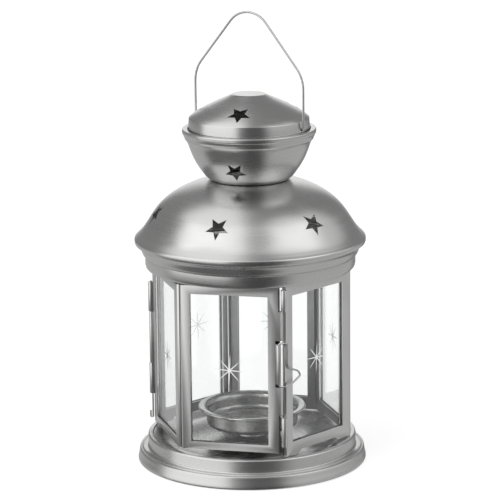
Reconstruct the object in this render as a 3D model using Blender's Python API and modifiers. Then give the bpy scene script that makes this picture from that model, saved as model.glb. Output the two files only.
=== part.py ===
"""Six-sided sheet metal lantern for a tealight: spun base and roof, glazed hexagonal chamber with a two-sided
door on a pin hinge, wire clasp and wire hanging loop. Sizes are millimetres; MM turns them into metres."""

import math

import bmesh
import bpy
from mathutils import Matrix, Vector

MM = 0.001

# Sheet, fits and smoothness
SHEET = 0.8
FIT = 0.3
TURN_STEPS = 48
SMALL_STEPS = 32

# Chamber
CORNER_RADIUS = 60.8
BAND_MARGIN = 1.3
FLANGE_REACH = 6.1
BASE_HEIGHT = 16.0
CHAMBER_HEIGHT = 101.8
CORNERS = (-103.5, -43.8, 17.9, 76.9, 136.0, 193.8)

# Base dish
BASE_BAND_HEIGHT = 7.4
FLOOR_DROP = 3.0
FLOOR_MARGIN = 16.1
BOSS_RADIUS = 7.5
BOSS_HEIGHT = 6.7
FOOT_WIDTH = 3.8

# Tealight cup
CUP_LIP_RADIUS = 31.7
CUP_WALL_RADIUS = 26.8
CUP_RECESS_RADIUS = 20.0
CUP_HEIGHT = 12.0
CUP_FLOOR = 0.9
CUP_STEP = 2.2
RIVET_RADIUS = 2.0
RIVET_HEAD_RADIUS = 3.8
RIVET_HEAD = 1.2

# Collar, dome and finial
COLLAR_BAND_HEIGHT = 8.4
COLLAR_HEIGHT = 14.4
DOME_HEIGHT = 37.1
DOME_NECK_RADIUS = 22.6
NECK_BORE_RADIUS = 17.5
BOWL_HEIGHT = 30.1
BOWL_HEM_MARGIN = 3.7
BOWL_HEM_HEIGHT = 2.6
CAP_BAND_RADIUS = 35.6
CAP_BAND_DEPTH = 4.0
CAP_SHOULDER = 6.1
CAP_CONE_HEIGHT = 14.0
CAP_FLAT_RADIUS = 9.6

# Pierced stars: how many, the first one's azimuth, outer and inner radius, and the wall's lean from upright
DOME_STARS = (6, -19.5, 6.8, 3.0, 42)
BOWL_STARS = (3, -13.8, 6.2, 2.8, -28)
CAP_STARS = (3, -12.4, 6.6, 3.0, 64)

# Frames and panes
PANE_THICK = 2.0
PANE_HOLD = 1.6
STILE = 7.9
MEETING_STILE = 6.9
CLASP_STILE = 9.4
KEEPER_STILE = 7.5
FEET_WIDTH = 15.0
FEET_HEIGHT = 1.9
FEET_SLANT = 2.4
RAIL_BOTTOM = 5.9
RAIL_TOP = 6.3
TONGUE_HEIGHT = 4.2
DOOR_LIFT = 2.6
DOOR_RAIL_BOTTOM = 4.4
DOOR_TOP_GAP = 1.4

# Door hinge and closing barrels; heights are measured up from the base or down from the collar
HINGE_OFFSET = 0.5
BARREL_RADIUS = 1.8
KNUCKLE_RADIUS = 1.45
PIN_RADIUS = 0.55
HINGE_UP = (19.6, 38.5)
HINGE_DOWN = (31.1, 13.4)
PIN_HOOK = 1.5
PIN_HOOK_HEIGHT = 4.0
PIN_TAIL = 15.2
CLOSE_UP = (7.0, 24.3)
CLOSE_DOWN = (14.2, 1.6)
NOTCH_PLAY = 0.6

# Clasp; its loop is given along the fixed side from the corner and up from the clasp's middle
CLASP_RISE = 5.1
CLASP_WIRE_RADIUS = 0.5
CLASP_PLAY = 0.6
CURL_RADIUS = 1.3
CURL_INSET = 2.8
CURL_RISE = 0.65
CURL_HALF = 11.8
KEEPER_RISE = 0.35
KEEPER_HALF = 10.5
CLASP_OFF_FACE = 1.3
CLASP_LOOP = ((2.0, 12.9), (2.6, 12.2), (2.6, -0.2), (3.2, -1.8), (5.0, -3.4), (9.6, -5.3), (11.6, -6.8),
              (12.3, -8.4), (11.4, -9.8), (7.5, -11.4), (2.4, -12.5))

# Bail
BAIL_WIRE_RADIUS = 0.65
BAIL_GAP = 0.75
BAIL_AZIMUTH = 58.0
BAIL_LEG = 28.5
BAIL_HEIGHT = 66.0
BAIL_PIVOT = 1.8
BAIL_TUCK = 1.5
BAIL_BOW_RADIUS = 15.6
BAIL_SHOULDER_DROP = 30.7

# Levels and radii that follow from the sizes above
BAND_RADIUS = CORNER_RADIUS + BAND_MARGIN
HEM_RADIUS = BAND_RADIUS + FLANGE_REACH
FLOOR_Z = BASE_HEIGHT - FLOOR_DROP
FLOOR_RADIUS = BAND_RADIUS - FLOOR_MARGIN
BOSS_TOP = FLOOR_Z + BOSS_HEIGHT
COLLAR_Z = BASE_HEIGHT + CHAMBER_HEIGHT
DOME_Z = COLLAR_Z + COLLAR_HEIGHT + FIT
BOWL_Z = DOME_Z + DOME_HEIGHT + FIT
BOWL_TOP = BOWL_Z + BOWL_HEIGHT
CAP_TOP = BOWL_TOP + CAP_SHOULDER + CAP_CONE_HEIGHT
BOWL_HEM_RADIUS = CAP_BAND_RADIUS + BOWL_HEM_MARGIN
FRAME_DEPTH = PANE_THICK + 2 * FIT + 2 * SHEET
HINGE_RADIUS = CORNER_RADIUS + HINGE_OFFSET
BORE = PIN_RADIUS + FIT
HINGE_LOW = tuple(BASE_HEIGHT + up for up in HINGE_UP)
HINGE_HIGH = tuple(COLLAR_Z - down for down in HINGE_DOWN)
CLOSE_LOW = tuple(BASE_HEIGHT + up for up in CLOSE_UP)
CLOSE_HIGH = tuple(COLLAR_Z - down for down in CLOSE_DOWN)
NOTCH_WIDTH = BARREL_RADIUS + 2.5
NOTCH_DEPTH = BARREL_RADIUS + 1.5
CLASP_Z = BASE_HEIGHT + CHAMBER_HEIGHT / 2 + CLASP_RISE
CLASP_HALF = CURL_HALF + CLASP_WIRE_RADIUS + CLASP_PLAY

GREY = (0.62, 0.62, 0.61, 1.0)
DARK = (0.42, 0.42, 0.42, 1.0)
CLEAR = (0.86, 0.9, 0.9, 0.3)


def clear_scene():
    for obj in list(bpy.data.objects):
        bpy.data.objects.remove(obj, do_unlink=True)


def new_collection(name):
    made = bpy.data.collections.new(name)
    bpy.context.scene.collection.children.link(made)
    return made


def metal(name, colour, rough):
    made = bpy.data.materials.new(name)
    made.use_nodes = True
    shader = made.node_tree.nodes["Principled BSDF"]
    shader.inputs["Base Color"].default_value = colour
    shader.inputs["Roughness"].default_value = rough
    shader.inputs["Metallic"].default_value = 1.0
    return made


def glass(name):
    made = bpy.data.materials.new(name)
    made.use_nodes = True
    shader = made.node_tree.nodes["Principled BSDF"]
    shader.inputs["Base Color"].default_value = CLEAR
    shader.inputs["Roughness"].default_value = 0.05
    shader.inputs["Alpha"].default_value = 0.3
    return made


def add(name, data, collection):
    obj = bpy.data.objects.new(name, data)
    collection.objects.link(obj)
    return obj


def as_cutter(obj):
    obj.hide_render = True
    obj.display_type = "WIRE"
    return obj


def boolean(obj, cutter, operation):
    step = obj.modifiers.new(operation.title() + " " + cutter.name, "BOOLEAN")
    step.operation = operation
    step.solver = "EXACT"
    step.object = cutter


def mesh_from(name, bm):
    bmesh.ops.recalc_face_normals(bm, faces=bm.faces)
    mesh = bpy.data.meshes.new(name)
    bm.to_mesh(mesh)
    bm.free()
    return mesh


def add_prism(bm, outline, start, end, place=None):
    """A straight prism over an outline of (x, y): it rises from start to end, then moves to its place."""
    ring = [Vector((x, y, start)) * MM for x, y in outline]
    face = bm.faces.new([bm.verts.new(p) for p in ring])
    made = bmesh.ops.extrude_face_region(bm, geom=[face])["geom"]
    far = [v for v in made if isinstance(v, bmesh.types.BMVert)]
    bmesh.ops.translate(bm, vec=Vector((0, 0, end - start)) * MM, verts=far)
    if place is not None:
        bmesh.ops.transform(bm, matrix=place, verts=[*face.verts, *far])


def add_box(bm, x_range, y_range, z_range):
    ranges = (x_range, y_range, z_range)
    middle = Matrix.Translation([(low + high) / 2 * MM for low, high in ranges])
    sizes = Matrix.Diagonal([(high - low) * MM for low, high in ranges] + [1])
    bmesh.ops.create_cube(bm, size=1.0, matrix=middle @ sizes)


def add_rod(bm, centre, radius, z_range, sides=16):
    middle = Matrix.Translation((centre[0] * MM, centre[1] * MM, (z_range[0] + z_range[1]) / 2 * MM))
    bmesh.ops.create_cone(bm, cap_ends=True, segments=sides, radius1=radius * MM, radius2=radius * MM,
                          depth=(z_range[1] - z_range[0]) * MM, matrix=middle)


def offset_profile(outer, wall):
    """The same profile moved by the wall thickness to the material side, with mitred corners."""
    points = [Vector(p) for p in outer]
    sides = []
    for a, b in zip(points[:-1], points[1:]):
        along = (b - a).normalized()
        sides.append(Vector((along.y, -along.x)))
    moved = [points[0] + sides[0] * wall]
    for i in range(1, len(points) - 1):
        both = sides[i - 1] + sides[i]
        moved.append(points[i] + both * (2 * wall / both.length_squared))
    moved.append(points[-1] + sides[-1] * wall)
    return [tuple(p) for p in moved]


def spin(name, loop, steps):
    """Turns a closed loop of (radius, height) points, or an open one that ends on the axis, into a solid."""
    closed = min(r for r, _ in loop) > 1e-6
    profile = bpy.data.meshes.new(name + "_profile")
    edges = [(i, i + 1) for i in range(len(loop) - 1)]
    if closed:
        edges.append((len(loop) - 1, 0))
    profile.from_pydata([(r * MM, 0, z * MM) for r, z in loop], edges, [])
    obj = bpy.data.objects.new(name + "_turned", profile)
    bpy.context.scene.collection.objects.link(obj)
    screw = obj.modifiers.new("Screw", "SCREW")
    screw.axis = "Z"
    screw.steps = steps
    screw.render_steps = steps
    screw.use_merge_vertices = True
    screw.merge_threshold = 1e-6
    graph = bpy.context.evaluated_depsgraph_get()
    mesh = bpy.data.meshes.new_from_object(obj.evaluated_get(graph))
    bpy.data.objects.remove(obj, do_unlink=True)
    bm = bmesh.new()
    bm.from_mesh(mesh)
    bmesh.ops.remove_doubles(bm, verts=bm.verts, dist=1e-6)
    bpy.data.meshes.remove(mesh)
    made = mesh_from(name, bm)
    made.shade_smooth()
    made.set_sharp_from_angle(angle=math.radians(30))
    return made


def sheet_loop(outer, wall=SHEET):
    return list(outer) + offset_profile(outer, wall)[::-1]


def on_curve(shape, r0, z0, r1, z1):
    """Fits a table of shares onto the space between two points of a turned profile."""
    return [(r0 + (r1 - r0) * u, z0 + (z1 - z0) * v) for u, v in shape]


def star_outline(outer, inner):
    points = []
    for i in range(10):
        size = inner if i % 2 else outer
        angle = math.radians(-90 + 36 * i)
        points.append((size * math.cos(angle), size * math.sin(angle)))
    return points


def add_star(bm, azimuth, radius, height, slope, size, inner, reach):
    """A star prism square to a turned wall; slope is the wall's lean in degrees from upright."""
    turn = Matrix.Rotation(math.radians(azimuth), 4, "Z") @ Matrix.Rotation(math.radians(90 - slope), 4, "X")
    angle = math.radians(azimuth)
    spot = Matrix.Translation(Vector((radius * math.sin(angle), -radius * math.cos(angle), height)) * MM)
    add_prism(bm, star_outline(size, inner), -reach, reach, spot @ turn)


def ring_of_stars(name, stars, spot, reach, cutters):
    """Cutters for a ring of stars whose middles lie at one (radius, height)."""
    count, first, size, inner, slope = stars
    radius, height = spot
    bm = bmesh.new()
    for i in range(count):
        add_star(bm, first + i * 360 / count, radius, height, slope, size, inner, reach)
    return as_cutter(add(name, mesh_from(name, bm), cutters))


def make_base(parts):
    rim = BASE_HEIGHT
    ledge = rim - BASE_BAND_HEIGHT
    hole = RIVET_RADIUS + FIT
    outer = [(hole, BOSS_TOP), (BOSS_RADIUS, BOSS_TOP), (BOSS_RADIUS + 1.2, FLOOR_Z + 1.0),
             (BOSS_RADIUS + 2.8, FLOOR_Z), (FLOOR_RADIUS, FLOOR_Z), (BAND_RADIUS - 12.1, FLOOR_Z + 0.9),
             (BAND_RADIUS - 7.1, rim - 0.9), (BAND_RADIUS - 3.4, rim - 0.7), (BAND_RADIUS - 2.6, rim),
             (BAND_RADIUS - 0.8, rim), (BAND_RADIUS, rim - 0.8), (BAND_RADIUS, ledge),
             (BAND_RADIUS + 0.7, ledge - 0.7), (HEM_RADIUS - 2.0, ledge - 1.0),
             (HEM_RADIUS - 1.1, ledge - 1.6), (HEM_RADIUS - 0.9, ledge - 2.6), (HEM_RADIUS - 0.4, 3.2),
             (HEM_RADIUS, 1.8), (HEM_RADIUS, 0.6), (HEM_RADIUS - 0.6, 0.0), (HEM_RADIUS - FOOT_WIDTH, 0.0)]
    return add("base_dish", spin("base_dish", sheet_loop(outer), TURN_STEPS), parts)


def make_cup(parts):
    """Bowl-like cup with a flared lip; a low rim round the recess keeps the tealight in the middle."""
    low = BOSS_TOP + FIT
    top = low + CUP_HEIGHT
    hole = RIVET_RADIUS + FIT
    recess = CUP_RECESS_RADIUS
    wall = CUP_WALL_RADIUS
    lip = CUP_LIP_RADIUS
    step = low + CUP_STEP
    loop = [(hole, low + CUP_FLOOR), (recess - 0.4, low + CUP_FLOOR), (recess, step + 0.6),
            (recess + 0.8, step + 0.5), (recess + 1.3, step), (wall - 3.4, step),
            (wall - SHEET, step + 2.4), (wall - SHEET, top - 1.9),
            (wall + 0.6, top - 0.3), (lip - 1.4, top), (lip, top - 0.5), (lip - 0.2, top - 1.2),
            (lip - 1.6, top - 0.9), (wall + 1.1, top - 1.4), (wall, top - 2.7), (wall, low + 3.0),
            (wall - 0.9, low + 0.9), (wall - 3.0, low), (hole, low)]
    return add("tealight_cup", spin("tealight_cup", loop, SMALL_STEPS), parts)


def make_rivet(parts):
    """Shank through the cup and the boss, a head inside the recess and another under the boss."""
    upper = BOSS_TOP + FIT + CUP_FLOOR + FIT
    lower = BOSS_TOP - SHEET - FIT
    head = RIVET_HEAD_RADIUS
    loop = [(0, upper + RIVET_HEAD), (head - 1.0, upper + RIVET_HEAD), (head, upper + 0.3), (head, upper),
            (RIVET_RADIUS, upper), (RIVET_RADIUS, lower), (head, lower), (head, lower - 0.3),
            (head - 1.0, lower - RIVET_HEAD), (0, lower - RIVET_HEAD)]
    return add("cup_rivet", spin("cup_rivet", loop, 16), parts)


def make_collar(parts):
    z0 = COLLAR_Z
    edge = z0 + COLLAR_BAND_HEIGHT
    top = z0 + COLLAR_HEIGHT
    rise = top - edge
    outer = [(HEM_RADIUS - 0.6, top), (HEM_RADIUS - 1.6, top - rise * 0.22),
             (HEM_RADIUS - 3.4, top - rise * 0.55), (BAND_RADIUS + 0.8, edge + 0.6), (BAND_RADIUS, edge),
             (BAND_RADIUS, z0)]
    return add("collar", spin("collar", sheet_loop(outer), TURN_STEPS), parts)


def make_dome(parts, cutters):
    top = DOME_Z + DOME_HEIGHT
    hem = HEM_RADIUS
    shape = [(0.0, 0.0), (0.209, 0.107), (0.354, 0.189), (0.479, 0.266), (0.606, 0.368), (0.713, 0.476),
             (0.777, 0.562), (0.837, 0.691), (0.897, 0.819), (0.949, 0.92), (1.0, 1.0)]
    crease_r = hem - 3.4
    crease_z = DOME_Z + 4.6
    outer = [(NECK_BORE_RADIUS, top), *on_curve(shape, DOME_NECK_RADIUS, top, crease_r, crease_z),
             (hem - 1.6, DOME_Z + 3.6), (hem - 0.3, DOME_Z + 2.7), (hem, DOME_Z + 1.8), (hem, DOME_Z)]
    dome = add("dome", spin("dome", sheet_loop(outer), TURN_STEPS), parts)
    spot = on_curve([(0.765, 0.545)], DOME_NECK_RADIUS, top, crease_r, crease_z)[0]
    stars = ring_of_stars("cut_dome_stars", DOME_STARS, spot, 5, cutters)
    boolean(dome, stars, "DIFFERENCE")
    return dome


def make_bowl(parts, cutters):
    top = BOWL_TOP
    mouth = CAP_BAND_RADIUS + 0.6
    hem = BOWL_HEM_RADIUS
    z_hem = top - BOWL_HEM_HEIGHT
    shape = [(0.0, 0.0), (0.18, 0.135), (0.365, 0.32), (0.60, 0.53), (0.735, 0.685), (0.86, 0.81), (1.0, 1.0)]
    ends = (DOME_NECK_RADIUS + 0.2, BOWL_Z, hem - 3.3, z_hem - 6.3)
    wall = on_curve(shape, *ends)
    outer = [(mouth, top), (hem - 0.5, top), (hem, top - 0.6), (hem, z_hem), (hem - 0.8, z_hem - 1.9),
             (hem - 1.6, z_hem - 3.7), *wall[::-1], (NECK_BORE_RADIUS, BOWL_Z)]
    bowl = add("finial_bowl", spin("finial_bowl", sheet_loop(outer), TURN_STEPS), parts)
    spot = on_curve([(0.598, 0.425)], *ends)[0]
    stars = ring_of_stars("cut_bowl_stars", BOWL_STARS, spot, 4, cutters)
    boolean(bowl, stars, "DIFFERENCE")
    return bowl


def make_cap(parts, cutters):
    band = CAP_BAND_RADIUS
    shoulder = BOWL_TOP + CAP_SHOULDER
    shape = [(0.0, 0.0), (0.13, 0.11), (0.38, 0.315), (0.60, 0.53), (0.82, 0.76), (0.9, 0.86), (0.97, 0.955)]
    ends = (CAP_FLAT_RADIUS, CAP_TOP, band - 0.3, shoulder)
    cone = on_curve(shape, *ends)
    outer = [(0, CAP_TOP), *cone, (band - 0.3, shoulder - 0.4), (band, shoulder - 3.0),
             (band, BOWL_TOP - CAP_BAND_DEPTH)]
    cap = add("finial_cap", spin("finial_cap", sheet_loop(outer), TURN_STEPS), parts)
    spot = on_curve([(0.623, 0.529)], *ends)[0]
    stars = ring_of_stars("cut_cap_stars", CAP_STARS, spot, 4, cutters)
    boolean(cap, stars, "DIFFERENCE")
    hole = (BAIL_WIRE_RADIUS + FIT) * MM
    turn = Matrix.Rotation(math.radians(BAIL_AZIMUTH), 4, "Z")
    level = Matrix.Rotation(math.radians(90), 4, "X")
    bm = bmesh.new()
    for side in (-1, 1):
        place = Matrix.Translation((0, -side * band * MM, (BOWL_TOP + BAIL_PIVOT) * MM))
        bmesh.ops.create_cone(bm, cap_ends=True, segments=16, radius1=hole, radius2=hole,
                              depth=5 * SHEET * MM, matrix=turn @ place @ level)
    holes = as_cutter(add("cut_cap_holes", mesh_from("cut_cap_holes", bm), cutters))
    boolean(cap, holes, "DIFFERENCE")
    return cap


class Side:
    """One side of the chamber, seen from outside; its own x runs right, y inward."""

    def __init__(self, first):
        left = CORNERS[first]
        right = CORNERS[(first + 1) % 6] + 360 * (first == 5)
        self.spread = math.radians(right - left) / 2
        self.turn = math.radians(left + right) / 2
        self.face = -CORNER_RADIUS * math.cos(self.spread)
        self.half = CORNER_RADIUS * math.sin(self.spread)

    def width_at(self, depth):
        """Half the width of the frame, mitred to its neighbours, at a depth behind the outer face."""
        joint = FIT / 2 / math.cos(self.spread)
        return (-self.face - depth) * math.tan(self.spread) - joint

    def corner(self, end):
        """The pin's axis at the left (-1) or right (1) corner."""
        return end * HINGE_RADIUS * math.sin(self.spread), -HINGE_RADIUS * math.cos(self.spread)


AB, BC, CD, DE, EF, FA = (Side(i) for i in range(6))


def panel_cutter(name, shapes, side, cutters):
    bm = bmesh.new()
    for add_shape, values in shapes:
        add_shape(bm, *values)
    obj = as_cutter(add(name, mesh_from(name, bm), cutters))
    obj.rotation_euler.z = side.turn
    return obj


def make_frame(name, side, levels, stiles, parts, cutters):
    """A glazed frame: mitred block, window, and a pane slot that is open at the top."""
    z_low, z_window, z_head, z_top = levels
    face = side.face
    back = face + FRAME_DEPTH
    near = side.width_at(0)
    far = side.width_at(FRAME_DEPTH)
    bm = bmesh.new()
    add_prism(bm, [(-near, face), (near, face), (far, back), (-far, back)], z_low, z_top)
    frame = add(name, mesh_from(name, bm), parts)
    frame.rotation_euler.z = side.turn
    x_left = stiles[0] - side.half
    x_right = side.half - stiles[1]
    window = ((x_left, x_right), (face - 2, back + 2), (z_window, z_head))
    boolean(frame, panel_cutter("cut_window_" + name, [(add_box, window)], side, cutters), "DIFFERENCE")
    room = PANE_HOLD + FIT
    slot = ((x_left - room, x_right + room), (face + SHEET, back - SHEET), (z_window - room, z_top + 3))
    boolean(frame, panel_cutter("cut_slot_" + name, [(add_box, slot)], side, cutters), "DIFFERENCE")
    return frame


def make_pane(name, side, levels, stiles, parts):
    z_window, z_head = levels[1], levels[2]
    front = side.face + SHEET + FIT
    bm = bmesh.new()
    add_box(bm, (stiles[0] - side.half - PANE_HOLD, side.half - stiles[1] + PANE_HOLD),
            (front, front + PANE_THICK), (z_window - PANE_HOLD, z_head + PANE_HOLD))
    pane = add(name, mesh_from(name, bm), parts)
    pane.rotation_euler.z = side.turn
    return pane


def cut_feet(frame, side, cutters):
    """Leaves two feet with slanted shoulders under a fixed frame."""
    low = BASE_HEIGHT + FIT
    inner = side.half - FEET_WIDTH
    outer = inner + FEET_SLANT
    outline = [(-outer, low - 2), (-outer, low), (-inner, low + FEET_HEIGHT), (inner, low + FEET_HEIGHT),
               (outer, low), (outer, low - 2)]
    upright = Matrix.Rotation(math.radians(90), 4, "X")
    bm = bmesh.new()
    add_prism(bm, outline, -side.face - FRAME_DEPTH - 2, -side.face + 2, upright)
    name = "cut_feet_" + frame.name
    cutter = as_cutter(add(name, mesh_from(name, bm), cutters))
    cutter.rotation_euler.z = side.turn
    boolean(frame, cutter, "DIFFERENCE")


def add_barrels(frame, side, end, spans, radius, cutters):
    """Rolled barrels on one corner of a frame, bored for the pin."""
    spot = side.corner(end)
    rods = [(add_rod, (spot, radius, span)) for span in spans]
    bores = [(add_rod, (spot, BORE, (span[0] - 1, span[1] + 1), 12)) for span in spans]
    boolean(frame, panel_cutter("join_barrels_" + frame.name, rods, side, cutters), "UNION")
    boolean(frame, panel_cutter("cut_bores_" + frame.name, bores, side, cutters), "DIFFERENCE")


def cut_corner(frame, side, end, spans, radius, cutters):
    """Makes room at one corner for the barrels of the neighbouring frame."""
    rods = [(add_rod, (side.corner(end), radius, span)) for span in spans]
    boolean(frame, panel_cutter("cut_corner_" + frame.name, rods, side, cutters), "DIFFERENCE")


def fixed_levels():
    low = BASE_HEIGHT + FIT
    return low, low + FEET_HEIGHT + RAIL_BOTTOM, COLLAR_Z - RAIL_TOP, COLLAR_Z + TONGUE_HEIGHT


def door_levels():
    low = BASE_HEIGHT + DOOR_LIFT
    return low, low + DOOR_RAIL_BOTTOM, COLLAR_Z - RAIL_TOP - 0.1, COLLAR_Z - DOOR_TOP_GAP


def make_fixed_sides(parts, cutters):
    sides = {"right": CD, "back_right": DE, "back": EF, "back_left": FA}
    frames = {}
    for place, side in sides.items():
        stiles = (KEEPER_STILE if side is CD else STILE, STILE)
        frames[place] = make_frame("frame_" + place, side, fixed_levels(), stiles, parts, cutters)
        cut_feet(frames[place], side, cutters)
        make_pane("pane_" + place, side, fixed_levels(), stiles, parts)
    knuckle_span = (HINGE_LOW[1], HINGE_HIGH[0])
    cut_corner(frames["back_left"], FA, 1, [knuckle_span], KNUCKLE_RADIUS + FIT, cutters)
    add_barrels(frames["back_left"], FA, 1, [HINGE_LOW, HINGE_HIGH], BARREL_RADIUS, cutters)
    add_barrels(frames["right"], CD, -1, [CLOSE_LOW, CLOSE_HIGH], BARREL_RADIUS, cutters)
    keeper_span = (CLASP_Z - KEEPER_HALF, CLASP_Z + KEEPER_HALF)
    keeper = ((-CD.half + 0.3, -CD.half + 3.0), (CD.face - KEEPER_RISE, CD.face + 0.4), keeper_span)
    boolean(frames["right"], panel_cutter("join_keeper", [(add_box, keeper)], CD, cutters), "UNION")


def world_corner():
    angle = math.radians(CORNERS[0])
    return HINGE_RADIUS * math.sin(angle), -HINGE_RADIUS * math.cos(angle)


def make_pin(parts):
    """Straight wire down the barrels with its lower end bent out and up."""
    x, y = world_corner()
    out = Vector((x, y, 0)).normalized()
    base = HINGE_LOW[0] - PIN_TAIL
    path = [(0, HINGE_HIGH[1] + 0.8), (0, base + 0.5), (0.15, base + 0.15), (0.5, base),
            (PIN_HOOK - 0.5, base), (PIN_HOOK - 0.15, base + 0.15), (PIN_HOOK, base + 0.5),
            (PIN_HOOK, base + PIN_HOOK_HEIGHT)]
    points = [Vector((x, y, z)) + out * r for r, z in path]
    return wire("hinge_pin", points, PIN_RADIUS, False, parts)


def wire(name, points, radius, cyclic, collection, origin=(0, 0, 0)):
    curve = bpy.data.curves.new(name, "CURVE")
    curve.dimensions = "3D"
    curve.bevel_depth = radius * MM
    curve.bevel_resolution = 2
    curve.use_fill_caps = not cyclic
    spline = curve.splines.new("POLY")
    spline.points.add(len(points) - 1)
    spline.use_cyclic_u = cyclic
    for spot, point in zip(spline.points, points):
        spot.co = (*((Vector(point) - Vector(origin)) * MM), 1)
    return add(name, curve, collection)


def make_door(parts, cutters):
    """Two glazed frames joined along corner B, with their panes, hung on the pin at corner A."""
    levels = door_levels()
    left_stiles = (STILE, STILE)
    left = make_frame("door_frame_left", AB, levels, left_stiles, parts, cutters)
    knuckle = (HINGE_LOW[1] + FIT + 0.1, HINGE_HIGH[0] - FIT - 0.1)
    spans = [(levels[0] - 2, knuckle[0]), (knuckle[1], levels[3] + 2)]
    cut_corner(left, AB, -1, spans, BARREL_RADIUS + FIT, cutters)
    add_barrels(left, AB, -1, [knuckle], KNUCKLE_RADIUS, cutters)
    right_stiles = (MEETING_STILE, CLASP_STILE)
    right = make_frame("door_frame_right", BC, levels, right_stiles, parts, cutters)
    notch_x = (BC.half - NOTCH_WIDTH, BC.half + 6)
    notch_y = (BC.face - 4, BC.face + NOTCH_DEPTH)
    notch_low = CLOSE_LOW[1] + NOTCH_PLAY + 0.5
    notch_half = CLASP_HALF + CLASP_WIRE_RADIUS + 0.5
    notch_high = CLOSE_HIGH[0] - NOTCH_PLAY
    rows = ((levels[0] - 2, notch_low), (CLASP_Z - notch_half, CLASP_Z + notch_half),
            (notch_high, levels[3] + 2))
    notches = [(add_box, (notch_x, notch_y, row)) for row in rows]
    boolean(right, panel_cutter("cut_notches", notches, BC, cutters), "DIFFERENCE")
    curl = curl_xy()
    curl_span = (CLASP_Z - CURL_HALF, CLASP_Z + CURL_HALF)
    tongue = ((BC.half - NOTCH_WIDTH - SHEET, curl[0]), (BC.face, BC.face + SHEET), curl_span)
    boolean(right, panel_cutter("join_tongue", [(add_box, tongue)], BC, cutters), "UNION")
    roll = (add_rod, (curl, CURL_RADIUS, curl_span))
    boolean(right, panel_cutter("join_curl", [roll], BC, cutters), "UNION")
    bore = (add_rod, (curl, CLASP_WIRE_RADIUS + FIT, (curl_span[0] - 1, curl_span[1] + 1), 12))
    boolean(right, panel_cutter("cut_curl_bore", [bore], BC, cutters), "DIFFERENCE")
    panes = [make_pane("door_pane_left", AB, levels, left_stiles, parts),
             make_pane("door_pane_right", BC, levels, right_stiles, parts)]
    return [left, right, *panes]


def curl_xy():
    return BC.half - CURL_INSET, BC.face - CURL_RISE


def make_clasp(parts):
    """Closed wire loop: its leg turns in the curl, its front lies round the corner over the keeper."""
    turn_door = Matrix.Rotation(BC.turn, 3, "Z")
    turn_fixed = Matrix.Rotation(CD.turn, 3, "Z")
    leg = turn_door @ Vector((*curl_xy(), 0))
    face = CD.face - CLASP_OFF_FACE
    corner = turn_fixed @ Vector((-CD.half - 0.4, face - 0.2, 0))
    top = Vector((0, 0, CLASP_Z + CLASP_HALF))
    low = Vector((0, 0, CLASP_Z - CLASP_HALF))
    bend = Vector((0, 0, CLASP_WIRE_RADIUS))
    points = [leg + low + bend, leg + top - bend, leg.lerp(corner, 0.25) + top, corner + top]
    points += [turn_fixed @ Vector((along - CD.half, face, CLASP_Z + up)) for along, up in CLASP_LOOP]
    points += [corner + low, leg.lerp(corner, 0.25) + low]
    obj = wire("clasp_wire", points, CLASP_WIRE_RADIUS, True, parts, leg)
    obj.location = leg * MM
    return obj


def make_bail(parts):
    """Hanging loop: both ends turn in through the holes of the cap."""
    reach = CAP_BAND_RADIUS + BAIL_GAP + BAIL_WIRE_RADIUS
    tuck = CAP_BAND_RADIUS - BAIL_TUCK
    side = [(tuck, 0), (reach - 0.9, 0), (reach - 0.25, 0.25), (reach, 0.9), (reach, BAIL_LEG - 5),
            (reach - 0.1, BAIL_LEG), (reach - 0.6, BAIL_LEG + 2.8)]
    bow = BAIL_BOW_RADIUS
    side.append((reach - 1.7, BAIL_LEG + 4.8))
    side.append((reach - 3.6, BAIL_HEIGHT - BAIL_SHOULDER_DROP))
    for degrees in (49.5, 37, 25, 12.5):
        angle = math.radians(degrees)
        side.append((bow * math.sin(angle), BAIL_HEIGHT - bow * (1 - math.cos(angle))))
    path = [*side, (0, BAIL_HEIGHT), *[(-u, z) for u, z in side[::-1]]]
    angle = math.radians(BAIL_AZIMUTH)
    points = [Vector((u * math.sin(angle), -u * math.cos(angle), z)) for u, z in path]
    obj = wire("bail_handle", points, BAIL_WIRE_RADIUS, False, parts)
    obj.location.z = (BOWL_TOP + BAIL_PIVOT) * MM
    return obj


def pivot(name, spot, collection):
    empty = add(name, None, collection)
    empty.location = Vector(spot) * MM
    return empty


def hang(children, parent):
    """Parents objects and keeps them where they stand."""
    bpy.context.view_layer.update()
    for child in children:
        child.parent = parent
        child.matrix_parent_inverse = parent.matrix_world.inverted()


def paint(parts):
    sheet = metal("brushed_sheet", GREY, 0.35)
    bright = metal("bright_wire", GREY, 0.25)
    dark = metal("pin_wire", DARK, 0.4)
    clear = glass("clear_glass")
    for obj in parts.objects:
        if obj.type == "EMPTY":
            continue
        if "pane" in obj.name:
            obj.data.materials.append(clear)
        elif obj.name in ("clasp_wire", "bail_handle"):
            obj.data.materials.append(bright)
        elif obj.name in ("hinge_pin", "cup_rivet"):
            obj.data.materials.append(dark)
        else:
            obj.data.materials.append(sheet)


def build():
    clear_scene()
    parts = new_collection("tealight_lantern")
    cutters = new_collection("cutters")
    make_base(parts)
    make_cup(parts)
    make_rivet(parts)
    make_fixed_sides(parts, cutters)
    make_pin(parts)
    make_collar(parts)
    make_dome(parts, cutters)
    make_bowl(parts, cutters)
    make_cap(parts, cutters)
    door = make_door(parts, cutters)
    clasp = make_clasp(parts)
    make_bail(parts)
    door_pivot = pivot("door_pivot", (*world_corner(), 0), parts)
    hang([*door, clasp], door_pivot)
    paint(parts)


build()
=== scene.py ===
"""Looks of the six-sided tealight lantern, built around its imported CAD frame."""

import math

import bmesh
import bpy
from mathutils import Matrix, Vector


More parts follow.
